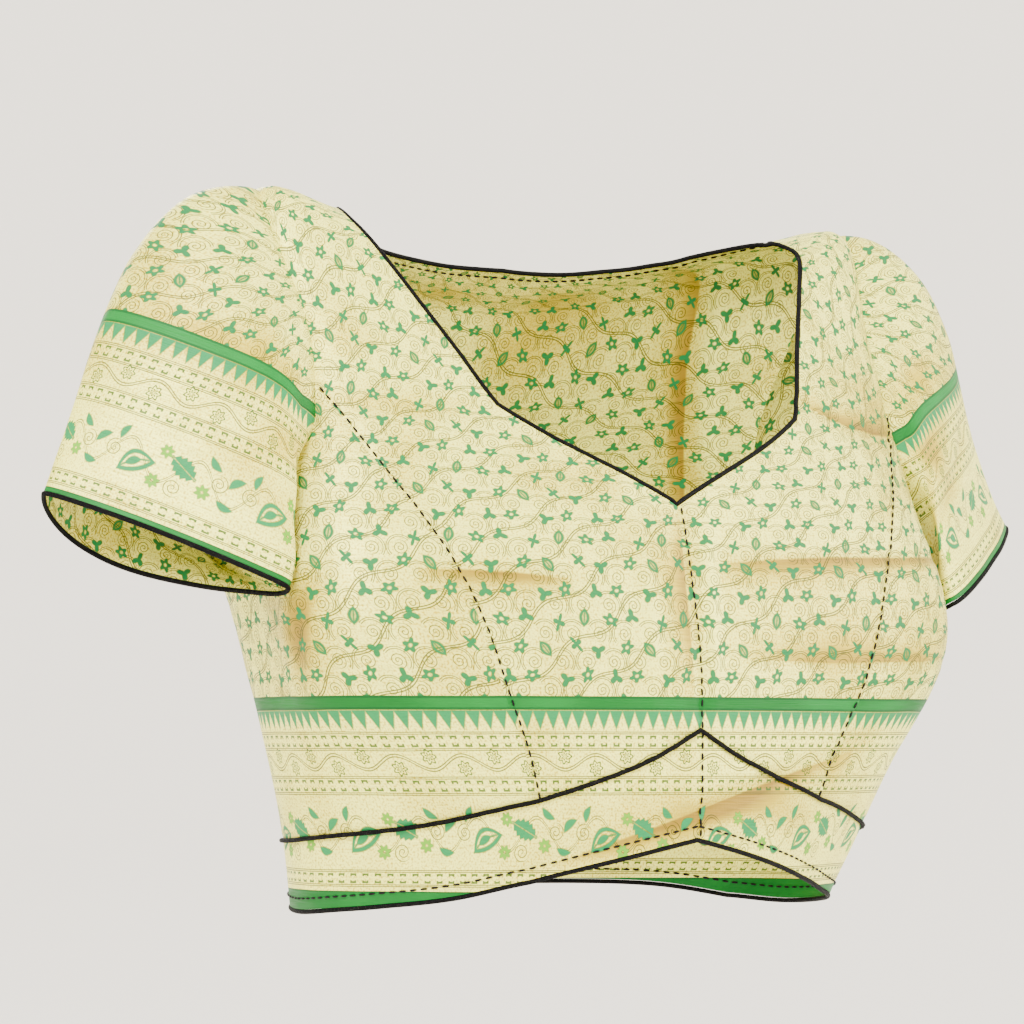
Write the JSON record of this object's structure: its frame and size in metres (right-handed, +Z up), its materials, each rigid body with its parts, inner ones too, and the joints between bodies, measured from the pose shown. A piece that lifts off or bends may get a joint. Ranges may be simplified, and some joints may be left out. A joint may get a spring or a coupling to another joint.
{
  "type": "saree blouse (choli)",
  "caption": "Short-sleeved saree blouse in gold silk brocade with a green and teal woven border, notched neckline and pointed under-bust band.",
  "frame": {"origin": "midway between the two points where the shoulder seams meet the neckline, where the wearer's shoulders hold it", "axes": "+X towards the wearer's left arm, -Y out of the front, +Z up"},
  "size_m": [0.5373, 0.225, 0.3267],
  "materials": {
    "silk_brocade": "soft silk sheen with woven metallic thread",
    "brocade_border": "soft silk sheen with woven metallic thread",
    "piping": "matt cotton cord"
  },
  "bodies": {
    "root": {"front_centre_left": "silk_brocade", "front_centre_right": "silk_brocade", "front_side_left": "silk_brocade", "front_side_right": "silk_brocade", "front_band_left": "brocade_border", "front_band_right": "brocade_border", "back": "silk_brocade", "sleeve_left": "silk_brocade", "sleeve_right": "silk_brocade", "neck_piping": "piping", "hem_piping": "piping", "band_piping": "piping", "cuff_piping_left": "piping", "cuff_piping_right": "piping"}
  },
  "joints": []
}
